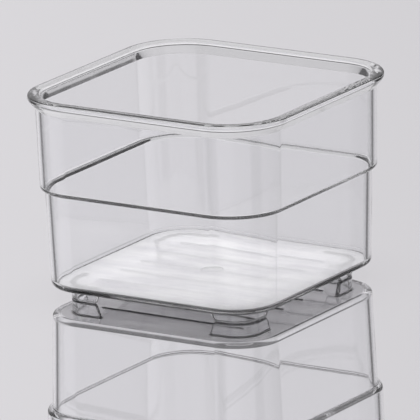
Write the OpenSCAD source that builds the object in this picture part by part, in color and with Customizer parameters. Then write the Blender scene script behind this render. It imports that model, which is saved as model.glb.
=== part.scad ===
// Clear square storage bin, injection moulded in one shot: a rim with a low domed top and a sloping
// underside, a wall that steps in at mid height, a thin floor stiffened underneath, and a foot under
// each corner.
// The regions of the moulding are separate closed solids that meet face to face. Nothing moves.
// Origin: centre of the footprint, on the surface that the feet rest on. +Z is up.

/* [Overall] */
// Width and depth over the rim
rim_w = 110.6; // [106:0.2:118]
// Height from the resting surface to the top of the rim
total_h = 80; // [72:1:90]
// Outside corner radius of the rim, seen from above
rim_corner_r = 24.3; // [20:0.1:28]

/* [Walls] */
// Wall thickness
wall_t = 2; // [1.6:0.1:2.4]
// Height of the shoulder's underside
shoulder_z = 42.8; // [36:0.2:48]
// How far the wall steps in at the shoulder
step_in = 1.9; // [1.5:0.1:2.2]
// Draft of the wall above the shoulder, in degrees
upper_draft = 1.2; // [0.5:0.1:1.6]
// Draft of the wall below the shoulder, in degrees
lower_draft = 1.9; // [0.5:0.1:2.2]

/* [Rim] */
// How far the rim stands out from the wall
rim_reach = 2.75; // [2.6:0.05:2.85]
// Height of the rim, from its top to where its sloping underside meets the wall
rim_h = 5.3; // [5.2:0.1:6.5]
// Slope of the rim's underside, in degrees from upright
rim_taper = 42; // [41:1:48]
// How far the top of the rim rises to its middle
rim_crown = 0.3; // [0.2:0.1:0.4]
// Rounding of the rim's upper outer edge
rim_edge_r = 0.8; // [0.5:0.1:0.9]
// Rounding between the rim's outer face and its underside
rim_face_r = 2.3; // [1.5:0.1:2.5]
// Rounding of the rim's inner edge
rim_in_r = 0.5; // [0.3:0.1:1]

/* [Floor] */
// Height of the floor's underside
under_z = 5.3; // [4:0.1:7]
// Thickness of the flat floor
floor_t = 1.5; // [1.2:0.1:2]
// Rounding of the outside bottom edge
edge_r = 1.9; // [1.4:0.1:2.4]
// Fillet between the wall and the floor, inside
fillet_r = 1.3; // [0.8:0.1:2]

/* [Stiffening ribs] */
// Number of ribs under the floor
rib_count = 5; // [3:2:5]
// Distance from one rib to the next
rib_pitch = 14.1; // [10:0.1:14.2]
// Width of a rib
rib_w = 1.3; // [0.8:0.1:2]
// Height of a rib
rib_h = 0.5; // [0.3:0.1:1]
// Length of a rib
rib_len = 63; // [50:1:64]
// Diameter of the round moulding gate pad under the floor
gate_d = 8.6; // [6:0.2:11]
// Height of the gate pad
gate_h = 0.6; // [0.3:0.1:1]
// Diameter of the shallow round recess above the gate, in the top of the floor
dimple_d = 7.6; // [5:0.2:9]
// Depth of the recess
dimple_depth = 0.5; // [0.2:0.1:0.7]

/* [Feet] */
// Distance from the middle of the bin to a foot's outer face
foot_reach = 41; // [39:0.1:42]
// Outside corner radius of a foot
foot_corner_r = 9.5; // [8:0.5:12]
// Length of a foot's straight leg beyond the bend
foot_leg = 6.5; // [4:0.5:9]
// Thickness of a foot
foot_t = 2; // [1.6:0.1:2.6]

/* [Hidden] */
$fn = 96;
tint = "lightcyan";

// Every wall bends about the same four upright axes, so each level's corner radius follows from its reach.
bend_c = rim_w / 2 - rim_corner_r;

// Rim: the top is a low arc between its two rounded edges
rim_low_z = total_h - rim_h;
rim_edge_z = total_h - rim_crown;
rim_in = rim_w / 2 - rim_reach - wall_t;
crown_half = (rim_w / 2 - rim_edge_r - rim_in - rim_in_r) / 2;
crown_r = (pow(crown_half, 2) + pow(rim_crown, 2)) / (2 * rim_crown);
crown_turn = asin(crown_half / crown_r);

// Shoulder: a rounded outside edge and a sloping inside ledge
shoulder_flat = 0.1;
shoulder_r = step_in - shoulder_flat;
ledge_turn = 50;
ledge_r = 0.8;
ledge_drop = 0.4;
ledge_slope_h = (step_in - 2 * ledge_r * (1 - cos(ledge_turn))) / tan(ledge_turn);
ledge_low_z = shoulder_z - ledge_drop;
ledge_high_z = ledge_low_z + 2 * ledge_r * sin(ledge_turn) + ledge_slope_h;
ledge_clear = 0.5;
shoulder_top_z = ledge_high_z + ledge_clear;
shoulder_low_z = ledge_low_z - ledge_clear;

// Floor
floor_z = under_z + floor_t;
base_top_z = floor_z + fillet_r;

// Feet
foot_edge_r = 0.6;
foot_edge_steps = 4;
foot_bend_c = foot_reach - foot_corner_r;

// How far a cutting shape runs on past the face that it opens
cut_clear = 1;

// Distance from the middle of the bin to the wall's outside at height z, above and below the shoulder
function upper_out(z) = rim_w / 2 - rim_reach - (total_h - z) * tan(upper_draft);
function lower_out(z) = upper_out(shoulder_z) - step_in - (shoulder_z - z) * tan(lower_draft);

// Points along an arc about (x, z), from angle a to angle b
function arc(x, z, r, a, b, steps = 8) =
    [for (i = [0:steps]) let (t = a + (b - a) * i / steps) [x + r * cos(t), z + r * sin(t)]];

base_in = lower_out(base_top_z) - wall_t;
plate_half = base_in - fillet_r;

// Sweeps a cross-section once round the bin. Its points are [distance from the middle, height].
module ring(section) {
    for (side = [0:3]) rotate(90 * side) {
        translate([0, bend_c, 0]) rotate([90, 0, 0]) linear_extrude(2 * bend_c) polygon(section);
        translate([bend_c, bend_c, 0]) rotate_extrude(angle = 90) translate([-bend_c, 0]) polygon(section);
    }
}

// A square of half-width half with round corners about the bending axes
module rounded_square(half) {
    square([2 * bend_c, 2 * half], center = true);
    square([2 * half, 2 * bend_c], center = true);
    for (x = [-1, 1], y = [-1, 1]) translate([x * bend_c, y * bend_c]) circle(half - bend_c);
}

// A foot at the corner in the +X +Y quarter: a round-edged strip bent through 90 degrees
module foot() {
    section = concat(
        [[foot_reach, under_z], [foot_reach - foot_t, under_z]],
        arc(foot_reach - foot_t + foot_edge_r, foot_edge_r, foot_edge_r, 180, 270, foot_edge_steps),
        arc(foot_reach - foot_edge_r, foot_edge_r, foot_edge_r, 270, 360, foot_edge_steps));
    leg_start = foot_bend_c - foot_leg;
    color(tint) {
        translate([foot_bend_c, foot_bend_c, 0])
            rotate_extrude(angle = 90) translate([-foot_bend_c, 0]) polygon(section);
        translate([0, foot_bend_c, 0]) rotate([90, 0, 0]) linear_extrude(foot_leg) polygon(section);
        translate([leg_start, 0, 0]) rotate([90, 0, 90]) linear_extrude(foot_leg) polygon(section);
    }
}

module rim() {
    taper_h = (rim_w / 2 - upper_out(rim_low_z)) / tan(rim_taper);
    face_z = rim_low_z + taper_h + rim_face_r * tan(rim_taper / 2);
    color(tint) ring(concat(
        [[upper_out(rim_low_z) - wall_t, rim_low_z]],
        arc(rim_in + rim_in_r, rim_edge_z - rim_in_r, rim_in_r, 180, 90),
        arc(rim_in + rim_in_r + crown_half, total_h - crown_r, crown_r, 90 + crown_turn, 90 - crown_turn),
        arc(rim_w / 2 - rim_edge_r, rim_edge_z - rim_edge_r, rim_edge_r, 90, 0),
        arc(rim_w / 2 - rim_face_r, face_z, rim_face_r, 0, -rim_taper),
        [[upper_out(rim_low_z), rim_low_z]]));
}

module upper_wall() {
    color(tint) ring([
        [upper_out(shoulder_top_z) - wall_t, shoulder_top_z],
        [upper_out(rim_low_z) - wall_t, rim_low_z],
        [upper_out(rim_low_z), rim_low_z],
        [upper_out(shoulder_top_z), shoulder_top_z]]);
}

module shoulder() {
    edge_out = upper_out(shoulder_z + shoulder_r);
    ledge_in = lower_out(shoulder_z) - wall_t;
    color(tint) ring(concat(
        [[upper_out(shoulder_top_z) - wall_t, shoulder_top_z],
         [upper_out(shoulder_top_z), shoulder_top_z]],
        arc(edge_out - shoulder_r, shoulder_z + shoulder_r, shoulder_r, 0, -90),
        [[lower_out(shoulder_z), shoulder_z],
         [lower_out(shoulder_low_z), shoulder_low_z],
         [lower_out(shoulder_low_z) - wall_t, shoulder_low_z]],
        arc(ledge_in + ledge_r, ledge_low_z, ledge_r, 180, 180 - ledge_turn),
        arc(ledge_in + step_in - ledge_r, ledge_high_z, ledge_r, -ledge_turn, 0)));
}

module lower_wall() {
    color(tint) ring([
        [lower_out(base_top_z) - wall_t, base_top_z],
        [lower_out(shoulder_low_z) - wall_t, shoulder_low_z],
        [lower_out(shoulder_low_z), shoulder_low_z],
        [lower_out(base_top_z), base_top_z]]);
}

module base_edge() {
    edge_out = lower_out(under_z + edge_r);
    color(tint) ring(concat(
        [[plate_half, under_z]],
        arc(edge_out - edge_r, under_z + edge_r, edge_r, -90, 0),
        [[lower_out(base_top_z), base_top_z]],
        arc(base_in - fillet_r, floor_z + fillet_r, fillet_r, 0, -90)));
}

module floor_plate() {
    color(tint) difference() {
        translate([0, 0, under_z]) linear_extrude(floor_t) rounded_square(plate_half);
        translate([0, 0, floor_z - dimple_depth]) cylinder(d = dimple_d, h = dimple_depth + cut_clear);
    }
}

module floor_ribs() {
    color(tint) difference() {
        for (i = [0:rib_count - 1])
            translate([-rib_len / 2, (i - (rib_count - 1) / 2) * rib_pitch - rib_w / 2, under_z - rib_h])
                cube([rib_len, rib_w, rib_h]);
        translate([0, 0, under_z - rib_h - cut_clear]) cylinder(d = gate_d, h = rib_h + 2 * cut_clear);
    }
}

module gate_pad() {
    color(tint) translate([0, 0, under_z - gate_h]) cylinder(d = gate_d, h = gate_h);
}

module foot_front_left() { rotate(180) foot(); }
module foot_front_right() { rotate(270) foot(); }
module foot_back_left() { rotate(90) foot(); }
module foot_back_right() { foot(); }

rim();
upper_wall();
shoulder();
lower_wall();
base_edge();
floor_plate();
floor_ribs();
gate_pad();
foot_front_left();
foot_front_right();
foot_back_left();
foot_back_right();
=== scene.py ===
from math import cos, radians, sin, tan

import bpy
import numpy as np
from mathutils import Matrix, Vector
from mathutils.geometry import delaunay_2d_cdt


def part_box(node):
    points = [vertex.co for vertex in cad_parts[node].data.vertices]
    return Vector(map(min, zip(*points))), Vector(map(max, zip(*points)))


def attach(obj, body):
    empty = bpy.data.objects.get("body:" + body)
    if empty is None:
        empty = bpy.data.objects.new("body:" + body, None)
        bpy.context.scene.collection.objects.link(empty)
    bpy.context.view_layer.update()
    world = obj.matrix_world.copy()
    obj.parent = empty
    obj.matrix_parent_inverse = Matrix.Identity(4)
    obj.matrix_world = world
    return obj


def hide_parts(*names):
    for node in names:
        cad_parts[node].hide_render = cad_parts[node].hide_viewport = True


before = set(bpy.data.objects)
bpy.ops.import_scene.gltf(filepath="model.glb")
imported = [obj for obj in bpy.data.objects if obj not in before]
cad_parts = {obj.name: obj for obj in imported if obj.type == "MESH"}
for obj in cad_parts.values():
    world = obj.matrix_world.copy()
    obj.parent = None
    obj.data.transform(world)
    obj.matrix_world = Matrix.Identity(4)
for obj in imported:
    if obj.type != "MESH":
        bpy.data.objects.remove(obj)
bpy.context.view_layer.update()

# Clear square storage bin: one injection moulding, so one closed mesh stands for all of the frame's
# nodes, and light crosses no false seam inside the plastic. Everything is in metres.
MM = 0.001
PIECE = "clear_bin"

# Sizes of the moulding that a box doesn't give
WALL = 2.0 * MM
CORNER_R = 24.3 * MM
FLOOR_FILLET_R = 1.3 * MM
LEDGE_R = 0.8 * MM
LEDGE_TURN = radians(50)
RIM_INNER_R = 0.5 * MM
RIM_CROWN = 0.3 * MM
RIM_CROWN_R = 7.0 * MM
RIM_EDGE_R = 0.8 * MM
RIM_FACE_R = 2.3 * MM
RIM_TAPER = radians(42)
RIM_FILLET_R = 0.4 * MM
LEDGE_CLEAR = 0.5 * MM
SHOULDER_RISE = 0.4 * MM
SHOULDER_R = 1.75 * MM
SHOULDER_FILLET_R = 0.1 * MM
BOTTOM_EDGE_R = 1.9 * MM
FOOT_WALL = 2.0 * MM
FOOT_CORNER_R = 9.5 * MM
FOOT_END_SLANT = 0.4
FOOT_END_FLARE = 1.0 * MM
FOOT_EDGE_R = 0.9 * MM
FOOT_FILLET_R = 0.5 * MM
RIB_COUNT = 5
RIB_WIDTH = 1.3 * MM
RIB_GAP = 0.6 * MM
DIMPLE_R = 3.8 * MM
DIMPLE_DEPTH = 0.5 * MM

# Steps of the curved parts of the mesh
CORNER_STEPS = 96
ARC_STEPS = 12
CIRCLE_STEPS = 64
FOOT_BEND_STEPS = 24
FOOT_END_STEPS = 16
FOOT_FILLET_STEPS = 6
FOOT_EDGE_STEPS = 8
RIB_END_STEPS = 10
RIB_RINGS = 7
GATE_STEPS = 8

# Turns, in degrees, at which a rounded rib and the dimple stop, to leave a small flat middle
RIB_LAST_TURN = 80
DIMPLE_LAST_TURN = 83

# Points closer than this, in mm, count as one when a flat area is filled
FILL_TOLERANCE = 1e-6


# --- Sizes from the frame -------------------------------------------------------------------------

def top_reach(node):
    """Distance from the middle to a ring node's outside, at its widest."""
    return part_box(node)[1].x


rim_half = top_reach("rim")
rim_low, rim_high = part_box("rim")[0].z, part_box("rim")[1].z
upper_low, upper_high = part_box("upper_wall")[0].z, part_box("upper_wall")[1].z
lower_low, lower_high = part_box("lower_wall")[0].z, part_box("lower_wall")[1].z
upper_slope = (top_reach("upper_wall") - top_reach("shoulder")) / (upper_high - upper_low)
lower_slope = (top_reach("lower_wall") - top_reach("base_edge")) / (lower_high - lower_low)
under_z, floor_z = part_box("floor_plate")[0].z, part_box("floor_plate")[1].z
bend = rim_half - CORNER_R


def upper_out(z):
    """Reach of the outside of the wall above the shoulder."""
    return top_reach("upper_wall") - (upper_high - z) * upper_slope


def lower_out(z):
    """Reach of the outside of the wall below the shoulder."""
    return top_reach("lower_wall") - (lower_high - z) * lower_slope


# --- Mesh building --------------------------------------------------------------------------------

def arc(x, y, r, start, end, steps=ARC_STEPS):
    """Points of an arc about (x, y), with its angles in degrees."""
    turns = np.radians(np.linspace(start, end, steps + 1))
    return [(x + r * cos(t), y + r * sin(t)) for t in turns]


def circle(r):
    return arc(0, 0, r, 0, 360, CIRCLE_STEPS)[:-1]


def rounded(corners):
    """The line through (x, y, radius) corners, each rounded by an arc. Its two ends only give directions."""
    points = []
    for before, corner, after in zip(corners, corners[1:], corners[2:]):
        place = Vector(corner[:2])
        back = (Vector(before[:2]) - place).normalized()
        on = (Vector(after[:2]) - place).normalized()
        half = back.angle(on) / 2
        centre = place + (back + on).normalized() * corner[2] / sin(half)
        start = place + back * corner[2] / tan(half) - centre
        turn = start.angle_signed(place + on * corner[2] / tan(half) - centre)
        for k in range(ARC_STEPS + 1):
            spoke = start.copy()
            spoke.rotate(Matrix.Rotation(-turn * k / ARC_STEPS, 2))
            points.append(tuple(centre + spoke))
    return points


class Solid:
    """One closed mesh, gathered ring by ring."""

    def __init__(self):
        self.points, self.faces, self.materials = [], [], []

    def ring(self, outline, z):
        first = len(self.points)
        self.points += [(x, y, z) for x, y in outline]
        return list(range(first, len(self.points)))

    def bridge(self, a, b, material=0):
        for i in range(len(a)):
            j = (i + 1) % len(a)
            self.faces.append((b[i], b[j], a[j], a[i]))
            self.materials.append(material)

    def fill(self, outer, holes=(), up=True, material=0):
        """Triangles over a flat area at one height, with holes."""
        loops = [outer, *holes]
        index = [i for loop in loops for i in loop]
        flat = [Vector(self.points[i][:2]) / MM for i in index]
        parts, first = [], 0
        for loop in loops:
            parts.append(list(range(first, first + len(loop))))
            first += len(loop)
        _, _, triangles, origins, _, inside = delaunay_2d_cdt(flat, [], parts, 1, FILL_TOLERANCE)
        for triangle, owners in zip(triangles, inside):
            if list(owners) != [0]:
                continue
            corner = [index[origins[v][0]] for v in triangle]
            a, b, c = (np.array(self.points[i][:2]) for i in corner)
            turn = (b - a)[0] * (c - a)[1] - (b - a)[1] * (c - a)[0]
            self.faces.append(tuple(corner if (turn > 0) == up else corner[::-1]))
            self.materials.append(material)

    def sink(self, outlines, heights, up=False, material=0):
        """Rings that go down and narrow to a closed end: a boss below a face, or a dimple in an upper one.
        Returns the first ring, which is the hole to leave in that face."""
        rings = [self.ring(outline, z) for outline, z in zip(outlines, heights)]
        for a, b in zip(rings, rings[1:]):
            self.bridge(*((b, a) if up else (a, b)), material)
        self.fill(rings[-1], up=up, material=material)
        return rings[0]


def square_outline(half):
    """A square with round corners about the bending axes, anticlockwise from above."""
    points = []
    for k, (x, y) in enumerate(((bend, bend), (-bend, bend), (-bend, -bend), (bend, -bend))):
        points += arc(x, y, half - bend, 90 * k, 90 * k + 90, CORNER_STEPS)
    return points


def strip_outline(path_r, about, leg_end, half, turn):
    """A strip bent round one corner, with round ends, turned to its own corner."""
    outline = arc(about, about, path_r + half, 0, 90, FOOT_BEND_STEPS)
    outline += arc(leg_end + half, about + path_r, half, 90, 270, FOOT_END_STEPS)
    outline += arc(about, about, path_r - half, 90, 0, FOOT_BEND_STEPS)
    outline += arc(about + path_r, leg_end + half, half, 180, 360, FOOT_END_STEPS)
    c, s = cos(radians(turn)), sin(radians(turn))
    return [(c * x - s * y, s * x + c * y) for x, y in outline]


def bar_outline(x_low, x_high, y, half):
    """A straight bar with round ends along X."""
    high_end = arc(x_high - half, y, half, -90, 90, RIB_END_STEPS)
    return high_end + arc(x_low + half, y, half, 90, 270, RIB_END_STEPS)


def wall_section():
    """The wall's cross-section from the floor inside, over the rim, to the underside, as (reach, z)."""
    ledge_low, ledge_high = lower_high + LEDGE_CLEAR, upper_low - LEDGE_CLEAR
    shoulder_z = ledge_low + SHOULDER_RISE
    ledge_cut = LEDGE_R * tan(LEDGE_TURN / 2)
    inner_x = upper_out(rim_high) - WALL
    rim_face_z = rim_low + (rim_half - upper_out(rim_low)) / tan(RIM_TAPER)
    return rounded([
        (0, floor_z, 0),
        (lower_out(floor_z) - WALL, floor_z, FLOOR_FILLET_R),
        (lower_out(ledge_low) - WALL, ledge_low + ledge_cut, LEDGE_R),
        (upper_out(ledge_high) - WALL, ledge_high - ledge_cut, LEDGE_R),
        (inner_x, rim_high - RIM_CROWN, RIM_INNER_R),
        ((inner_x + rim_half) / 2, rim_high, RIM_CROWN_R),
        (rim_half, rim_high - RIM_CROWN, RIM_EDGE_R),
        (rim_half, rim_face_z, RIM_FACE_R),
        (upper_out(rim_low), rim_low, RIM_FILLET_R),
        (upper_out(shoulder_z), shoulder_z, SHOULDER_R),
        (lower_out(shoulder_z), shoulder_z, SHOULDER_FILLET_R),
        (lower_out(under_z), under_z, BOTTOM_EDGE_R),
        (0, under_z, 0)])


def foot_rings(turn):
    """Outlines and heights of a foot, from the underside of the floor to the resting surface."""
    low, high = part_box("foot_back_right")
    about = high.x - FOOT_CORNER_R
    half = FOOT_WALL / 2
    fillet = arc(FOOT_FILLET_R, -FOOT_FILLET_R, FOOT_FILLET_R, 90, 180, FOOT_FILLET_STEPS)
    edge = arc(-FOOT_EDGE_R, FOOT_EDGE_R, FOOT_EDGE_R, 0, -90, FOOT_EDGE_STEPS)
    steps = [(half + x, under_z + z) for x, z in fillet] + [(half + x, z) for x, z in edge]
    outlines = []
    for w, z in steps:
        leg_end = low.x - FOOT_END_FLARE + (under_z - z) * FOOT_END_SLANT - (w - half)
        outlines.append(strip_outline(FOOT_CORNER_R - half, about, leg_end, w, turn))
    return outlines, [z for _, z in steps]


def rib_rings(x_low, x_high, y):
    """Outlines and heights of one stretch of rib, rounded underneath."""
    depth = under_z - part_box("floor_ribs")[0].z
    turns = np.radians(np.linspace(0, RIB_LAST_TURN, RIB_RINGS))
    outlines = [bar_outline(x_low, x_high, y, RIB_WIDTH / 2 * cos(t)) for t in turns]
    return outlines, [under_z - depth * sin(t) for t in turns]


def gate_rings():
    """Outlines and heights of the round gate pad, with a rounded edge."""
    low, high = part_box("gate_pad")
    depth = under_z - low.z
    steps = arc(high.x - depth, under_z, depth, 0, -90, GATE_STEPS)
    return [circle(r) for r, _ in steps], [z for _, z in steps]


def dimple_rings():
    """A shallow dish with a crisp lip and a round bottom, in the top of the floor."""
    turns = np.radians(np.linspace(0, DIMPLE_LAST_TURN, ARC_STEPS))
    return [circle(DIMPLE_R * cos(t)) for t in turns], [floor_z - DIMPLE_DEPTH * sin(t) for t in turns]


def rib_spans():
    """The low and high X and the Y of each stretch of rib; the gate pad parts the middle one."""
    low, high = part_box("floor_ribs")
    pad_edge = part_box("gate_pad")[1].x + RIB_GAP
    for y in np.linspace(low.y + RIB_WIDTH / 2, high.y - RIB_WIDTH / 2, RIB_COUNT):
        if abs(y) < pad_edge:
            yield low.x, -pad_edge, y
            yield pad_edge, high.x, y
        else:
            yield low.x, high.x, y


def build_bin():
    solid = Solid()
    rings = [solid.ring(square_outline(reach), z) for reach, z in wall_section()]
    for a, b in zip(rings, rings[1:]):
        solid.bridge(a, b)
    dimple = solid.sink(*dimple_rings(), up=True, material=1)
    solid.fill(rings[0], [dimple], material=1)
    holes = [solid.sink(*foot_rings(turn)) for turn in (0, 90, 180, 270)]
    holes += [solid.sink(*rib_rings(*span)) for span in rib_spans()]
    holes.append(solid.sink(*gate_rings()))
    solid.fill(rings[-1], holes, up=False)
    return solid


def to_object(solid, name):
    mesh = bpy.data.meshes.new(name)
    mesh.from_pydata(solid.points, [], solid.faces)
    mesh.polygons.foreach_set("material_index", solid.materials)
    mesh.polygons.foreach_set("use_smooth", [True] * len(solid.faces))
    mesh.update()
    # A vertex's normal leans on the larger faces round it, so flat areas stay flat up to their fillets.
    normals = np.zeros((len(mesh.vertices), 3))
    for polygon in mesh.polygons:
        for v in polygon.vertices:
            normals[v] += np.array(polygon.normal) * polygon.area
    normals /= np.linalg.norm(normals, axis=1)[:, None]
    mesh.normals_split_custom_set_from_vertices([tuple(n) for n in normals])
    obj = bpy.data.objects.new(name, mesh)
    bpy.context.scene.collection.objects.link(obj)
    return obj


# --- Materials ------------------------------------------------------------------------------------

PLASTIC_IOR = 1.58
WALL_WAVE = 0.06
SATIN_RELIEF = 0.12
GRAIN_SHARE = 0.15


def node(tree, kind, **settings):
    """A shader node; a setting that starts with in_ is an input socket's value."""
    made = tree.nodes.new("ShaderNode" + kind)
    for key, value in settings.items():
        if key.startswith("in_"):
            made.inputs[key[3:].replace("_", " ")].default_value = value
        else:
            setattr(made, key, value)
    return made


def noise(tree, cells, detail=2.0):
    """Noise over the object's own coordinates, with so many cells in 1 mm along X, Y and Z."""
    place = node(tree, "TexCoord")
    stretch = node(tree, "Mapping", in_Scale=[c / MM for c in cells])
    made = node(tree, "TexNoise", in_Scale=1.0, in_Detail=detail)
    tree.links.new(place.outputs["Object"], stretch.inputs["Vector"])
    tree.links.new(stretch.outputs["Vector"], made.inputs["Vector"])
    return made.outputs["Fac"]


def ranged(tree, value, low, high, start=0.0, end=1.0):
    """A value from start to end, brought to low to high."""
    made = node(tree, "MapRange", in_From_Min=start, in_From_Max=end, in_To_Min=low, in_To_Max=high)
    tree.links.new(value, made.inputs["Value"])
    return made.outputs["Result"]


def tinted(tree, factor, dark, light):
    """A colour from dark to light, by a factor of 0 to 1."""
    made = node(tree, "ValToRGB")
    made.color_ramp.elements[0].color = (*dark, 1)
    made.color_ramp.elements[1].color = (*light, 1)
    tree.links.new(factor, made.inputs["Fac"])
    return made.outputs["Color"]


def combined(tree, operation, a, b):
    """One sum on two sockets, or on a socket and a number."""
    made = node(tree, "Math", operation=operation)
    for slot, value in zip(made.inputs, (a, b)):
        if isinstance(value, float):
            slot.default_value = value
        else:
            tree.links.new(value, slot)
    return made.outputs["Value"]


def ramp(tree, value, stops):
    """A value turned into a strength by a few (place, strength) stops, with soft steps between them."""
    made = node(tree, "ValToRGB")
    made.color_ramp.interpolation = "EASE"
    points = made.color_ramp.elements
    while len(points) < len(stops):
        points.new(0.5)
    for point, (place, level) in zip(points, stops):
        point.position = place
        point.color = (level, level, level, 1)
    tree.links.new(value, made.inputs["Fac"])
    return made.outputs["Color"]


def relief(tree, shader, height, strength):
    """Bump on a shader, from a height."""
    made = node(tree, "Bump", in_Strength=strength, in_Distance=1 * MM)
    tree.links.new(height, made.inputs["Height"])
    tree.links.new(made.outputs["Normal"], shader.inputs["Normal"])


def new_material(name):
    material = bpy.data.materials.new(name)
    material.use_nodes = True
    return material, material.node_tree, material.node_tree.nodes["Principled BSDF"]


def clear_wall():
    """Polished clear plastic that is slightly wavy, as moulding leaves it."""
    material, tree, shader = new_material("clear_wall")
    shader.inputs["Base Color"].default_value = (0.97, 0.972, 0.98, 1)
    shader.inputs["Transmission Weight"].default_value = 1.0
    shader.inputs["IOR"].default_value = PLASTIC_IOR
    scuffs = noise(tree, (0.3, 0.3, 0.08), 4)
    tree.links.new(ranged(tree, scuffs, 0.0, 0.03, 0.45, 0.8), shader.inputs["Roughness"])
    relief(tree, shader, noise(tree, (0.05, 0.05, 0.025)), WALL_WAVE)
    return material


def satin_floor():
    """The etched floor: milky plastic with patches and faint flow lines along the ribs."""
    material, tree, shader = new_material("satin_floor")
    shader.inputs["Transmission Weight"].default_value = 0.55
    shader.inputs["IOR"].default_value = PLASTIC_IOR
    lines = noise(tree, (0.03, 0.35, 0.1), 3)
    patches = noise(tree, (0.06, 0.09, 0.1), 4)
    grain = noise(tree, (1.2, 1.2, 1.2), 3)
    half_lines = combined(tree, "MULTIPLY", lines, 0.5)
    half_patches = combined(tree, "MULTIPLY", patches, 0.5)
    flow = combined(tree, "ADD", half_lines, half_patches)
    shade = tinted(tree, ranged(tree, flow, 0.0, 1.0, 0.38, 0.62), (0.86, 0.85, 0.88), (1.0, 0.995, 1.0))
    tree.links.new(shade, shader.inputs["Base Color"])
    tree.links.new(ranged(tree, flow, 0.16, 0.04, 0.4, 0.65), shader.inputs["Roughness"])
    height = combined(tree, "ADD", flow, combined(tree, "MULTIPLY", grain, GRAIN_SHARE))
    relief(tree, shader, height, SATIN_RELIEF)
    return material


def glossy_floor():
    """The table: mirror-like when seen from 12 to 19 degrees up, and paler and more matt elsewhere."""
    material, tree, shader = new_material("glossy_floor")
    shader.inputs["Base Color"].default_value = (0.6, 0.596, 0.604, 1)
    tree.links.new(ranged(tree, noise(tree, (0.01, 0.01, 0.01)), 0.4, 0.5), shader.inputs["Roughness"])
    gloss = node(tree, "BsdfAnisotropic", in_Color=(0.96, 0.955, 0.965, 1))
    tree.links.new(ranged(tree, noise(tree, (0.01, 0.01, 0.01)), 0.008, 0.02), gloss.inputs["Roughness"])
    facing = node(tree, "LayerWeight", in_Blend=0.5).outputs["Facing"]
    mix = node(tree, "MixShader")
    stops = [(1 - sin(radians(el)), share) for el, share in FLOOR_GLOSS_BY_EL]
    tree.links.new(ramp(tree, facing, stops), mix.inputs["Fac"])
    tree.links.new(shader.outputs["BSDF"], mix.inputs[1])
    tree.links.new(gloss.outputs["BSDF"], mix.inputs[2])
    tree.links.new(mix.outputs["Shader"], tree.nodes["Material Output"].inputs["Surface"])
    return material


# --- Studio ---------------------------------------------------------------------------------------

VIEW_AZ = radians(32.7)
VIEW_EL = radians(15.5)
VIEW_ROLL = radians(-1.77)
VIEW_DISTANCE = 3.3
VIEW_HEIGHT = 29.8 * MM
VIEW_LENS = 750.7
VIEW_CLIP = 200
LAMP_ENERGY = 4.8
LAMP_ANGLE = radians(30)
FLOOR_REACH = 40
FLOOR_GLOSS_BY_EL = ((26, 0.35), (19, 0.96), (12, 0.96), (7, 0.1))

# The room, as strengths by elevation and by how far to the side (the sine of the azimuth from the view)
BAND_BY_EL = ((5, 0.2), (9, 1.0), (26, 1.0), (32, 0.08))
GAP_TOP_BY_EL = ((17, 0.0), (20, 0.9))
BAND_BY_SIDE = ((0.5, 1.0), (0.616, 0.2), (0.766, 0.2), (0.86, 0.95))
BAND_LEVEL = 0.69
BAND_FALL = 0.1
BAND_FALL_SIDE = 0.07
ROOM_COLOUR = (1.0, 0.985, 1.012, 1)
LIGHT_BOUNCES = 32
GLOSSY_BOUNCES = 16
INDIRECT_CLAMP = 6.0


def aim(obj, away, roll):
    """Turn a camera to look back along away, with a roll about its own view."""
    facing = (-away).to_track_quat("-Z", "Y").to_matrix()
    obj.rotation_euler = (facing @ Matrix.Rotation(roll, 3, "Z")).to_euler()


def direction(azimuth, elevation):
    """The way from the bin to a viewer. Azimuth 0 is in front, at -Y."""
    return Vector((sin(azimuth) * cos(elevation), -cos(azimuth) * cos(elevation), sin(elevation)))


def add_camera():
    data = bpy.data.cameras.new("camera")
    data.lens = VIEW_LENS
    data.clip_end = VIEW_CLIP
    camera = bpy.data.objects.new("camera", data)
    bpy.context.scene.collection.objects.link(camera)
    away = direction(VIEW_AZ, VIEW_EL)
    camera.location = Vector((0, 0, VIEW_HEIGHT)) + away * VIEW_DISTANCE
    aim(camera, away, VIEW_ROLL)
    bpy.context.scene.camera = camera


def add_floor():
    mesh = bpy.data.meshes.new("floor")
    corners = [(x * FLOOR_REACH, y * FLOOR_REACH, 0) for x, y in ((-1, -1), (1, -1), (1, 1), (-1, 1))]
    mesh.from_pydata(corners, [], [(0, 1, 2, 3)])
    mesh.materials.append(glossy_floor())
    floor = bpy.data.objects.new("floor", mesh)
    bpy.context.scene.collection.objects.link(floor)


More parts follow.
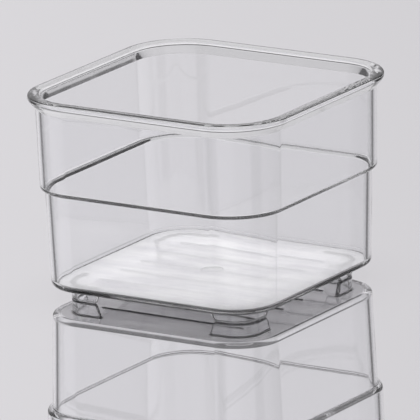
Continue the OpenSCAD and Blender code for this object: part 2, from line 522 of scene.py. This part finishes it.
def add_overhead():
    """A broad lamp straight above, wide enough for soft shadows. It lights matt surfaces only, so that
    the polished ones mirror the plain room and not the lamp."""
    data = bpy.data.lights.new("overhead", "SUN")
    data.energy = LAMP_ENERGY
    data.angle = LAMP_ANGLE
    light = bpy.data.objects.new("overhead", data)
    light.visible_glossy = False
    light.visible_transmission = False
    bpy.context.scene.collection.objects.link(light)


def by_elevation(stops):
    return [(sin(radians(el)), level) for el, level in stops]


def add_world():
    """A pale room: an even band above a dim horizon and below a dim ceiling, with a dim gap on either
    side in front and behind. The band falls off slightly from left to right."""
    world = bpy.data.worlds.new("studio")
    bpy.context.scene.world = world
    world.use_nodes = True
    tree = world.node_tree
    turn = node(tree, "VectorRotate", rotation_type="Z_AXIS", in_Angle=-VIEW_AZ)
    tree.links.new(node(tree, "TexCoord").outputs["Generated"], turn.inputs["Vector"])
    split = node(tree, "SeparateXYZ")
    tree.links.new(turn.outputs["Vector"], split.inputs["Vector"])
    side = combined(tree, "ABSOLUTE", split.outputs["X"], 0.0)
    height = split.outputs["Z"]
    gap_top = ramp(tree, height, by_elevation(GAP_TOP_BY_EL))
    gap = combined(tree, "MAXIMUM", ramp(tree, side, BAND_BY_SIDE), gap_top)
    band = combined(tree, "MULTIPLY", ramp(tree, height, by_elevation(BAND_BY_EL)), gap)
    left, right = BAND_LEVEL * (1 + BAND_FALL), BAND_LEVEL * (1 - BAND_FALL)
    level = ranged(tree, split.outputs["X"], left, right, -BAND_FALL_SIDE, BAND_FALL_SIDE)
    band = combined(tree, "MULTIPLY", band, level)
    tree.links.new(band, tree.nodes["Background"].inputs["Strength"])
    tree.nodes["Background"].inputs["Color"].default_value = ROOM_COLOUR


add_camera()
add_floor()
add_world()
add_overhead()

piece = to_object(build_bin(), PIECE)
piece.data.materials.append(clear_wall())
piece.data.materials.append(satin_floor())
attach(piece, "root")
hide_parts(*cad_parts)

scene = bpy.context.scene
scene.view_settings.view_transform = "Standard"
scene.cycles.max_bounces = LIGHT_BOUNCES
scene.cycles.transmission_bounces = LIGHT_BOUNCES
scene.cycles.glossy_bounces = GLOSSY_BOUNCES
scene.cycles.sample_clamp_indirect = INDIRECT_CLAMP
